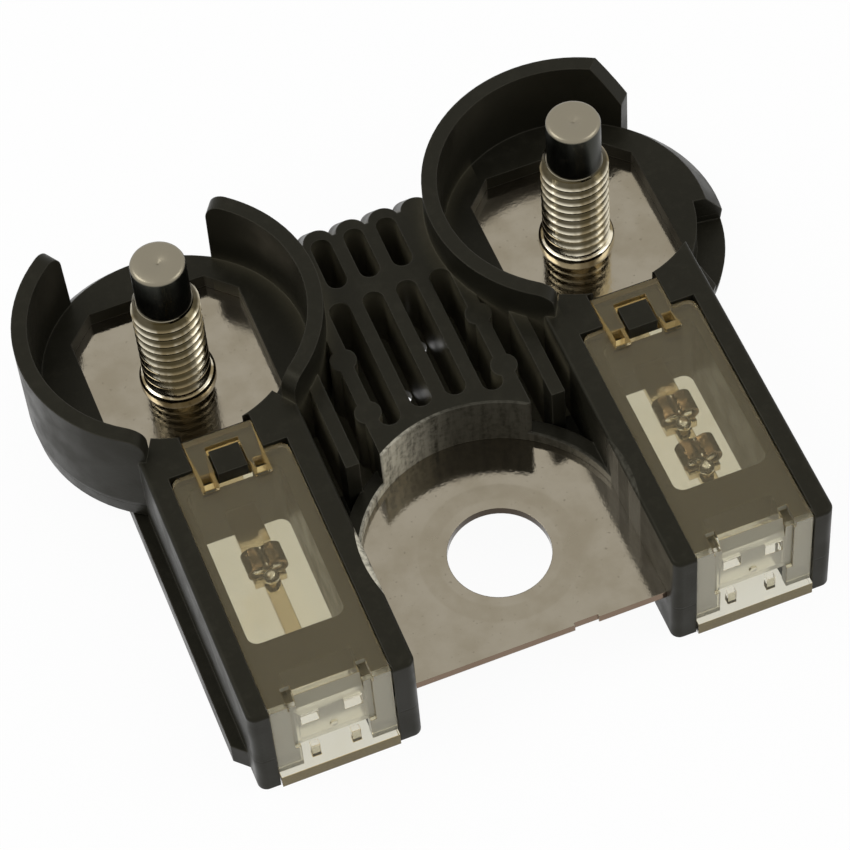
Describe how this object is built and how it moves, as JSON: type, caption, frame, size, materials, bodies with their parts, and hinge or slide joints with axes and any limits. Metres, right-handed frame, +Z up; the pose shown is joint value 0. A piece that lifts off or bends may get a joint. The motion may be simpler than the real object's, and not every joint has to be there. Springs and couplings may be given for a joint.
{
  "type": "battery fuse block",
  "caption": "Stud-mounted fuse block: a flat bus bar with a bolt hole, moulded into a housing with studs in round cups and fuse links under clear latched covers.",
  "frame": {"origin": "centre of the bus hole, on the bus bar's top face", "axes": "+Z up along the studs, +Y from the bus hole towards the studs, +X from the arm with one tin pellet to the arm with two"},
  "size_m": [0.0632, 0.0517, 0.0211],
  "materials": {
    "housing_plastic": "satin black glass-filled moulding",
    "plated_bar": "dull bright tin plating over a copper alloy",
    "plated_stud": "bright plated steel",
    "tin": "dull cast tin",
    "clear_cover": "glossy see-through smoky amber plastic"
  },
  "bodies": {
    "root": {"housing": "housing_plastic", "bus_bar": "plated_bar", "stud_left": "plated_stud", "stud_right": "plated_stud", "tin_left": "tin", "tin_right_rear": "tin", "tin_right_front": "tin", "window_cover_left": "clear_cover", "window_cover_right": "clear_cover", "base_window_left": "clear_cover", "base_window_right": "clear_cover"}
  },
  "joints": []
}
